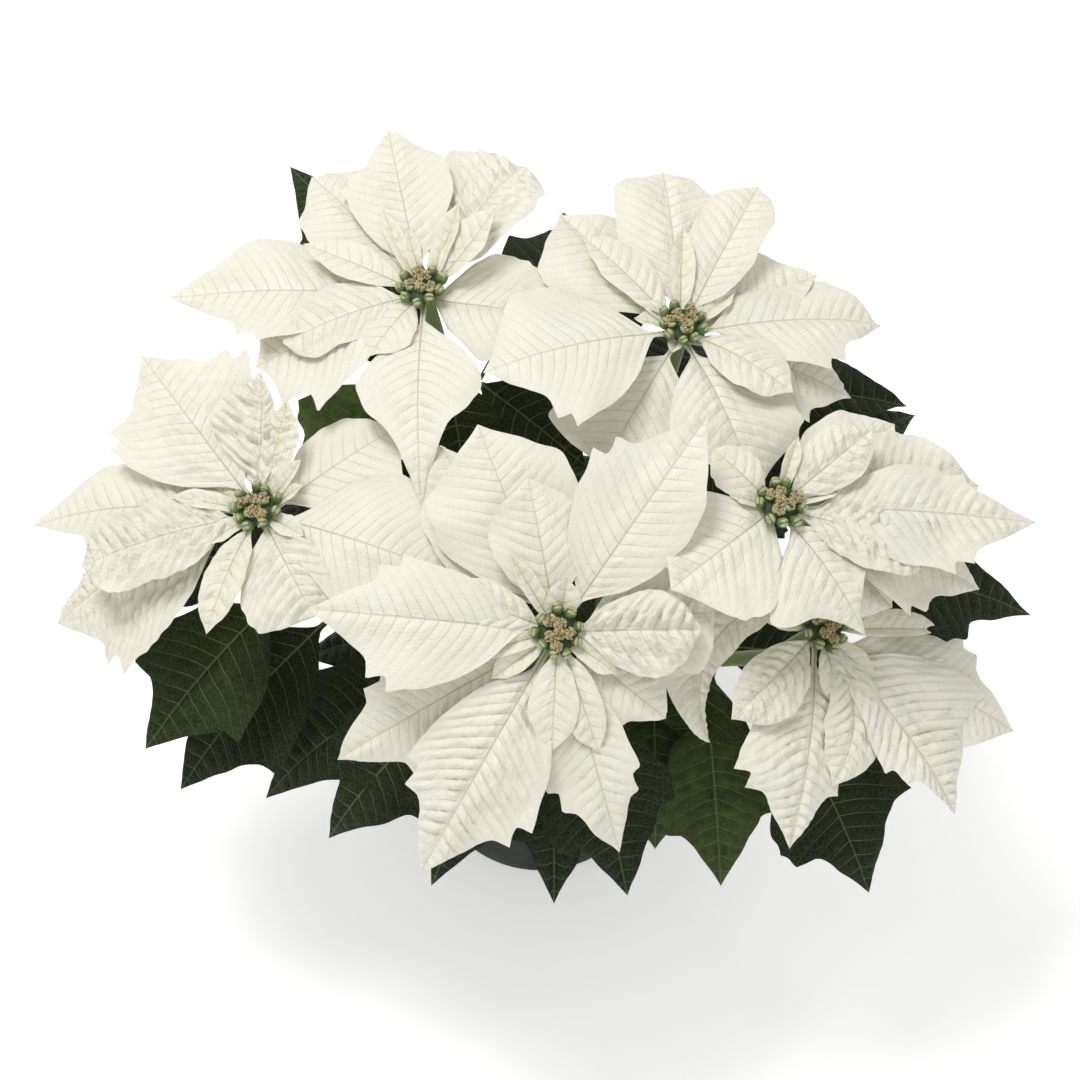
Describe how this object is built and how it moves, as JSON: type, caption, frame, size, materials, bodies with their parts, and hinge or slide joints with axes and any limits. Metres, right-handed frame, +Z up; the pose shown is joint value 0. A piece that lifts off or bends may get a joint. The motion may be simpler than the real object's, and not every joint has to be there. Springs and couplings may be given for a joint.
{
  "type": "potted poinsettia",
  "caption": "White poinsettia in a round plastic nursery pot: lobed bracts round green and yellow cyathia over dark green leaves on a pinched, branching stem.",
  "frame": {"origin": "middle of the pot's flat base, on the surface that it stands on", "axes": "+Z up along the pot's axis; -Y towards the viewer, +X to the viewer's right"},
  "size_m": [0.4235, 0.3352, 0.3189],
  "materials": {
    "pot_plastic": "dark green-grey thermoformed plastic, satin",
    "peat": "moist peat and bark crumbs, dull",
    "green_leaf": "dark green leaf, satin, with paler veins",
    "white_bract": "cream white bract, soft satin, quilted between the veins",
    "cyathia": "green cups with yellow tops, slightly waxy"
  },
  "bodies": {
    "root": {"pot": "pot_plastic", "potting_soil": "peat", "leafy_stem": "green_leaf", "bloom_back_left_bracts": "white_bract", "bloom_back_left_cyathia": "cyathia", "bloom_back_right_bracts": "white_bract", "bloom_back_right_cyathia": "cyathia", "bloom_left_bracts": "white_bract", "bloom_left_cyathia": "cyathia", "bloom_front_bracts": "white_bract", "bloom_front_cyathia": "cyathia", "bloom_right_bracts": "white_bract", "bloom_right_cyathia": "cyathia", "bloom_low_right_bracts": "white_bract", "bloom_low_right_cyathia": "cyathia"}
  },
  "joints": []
}
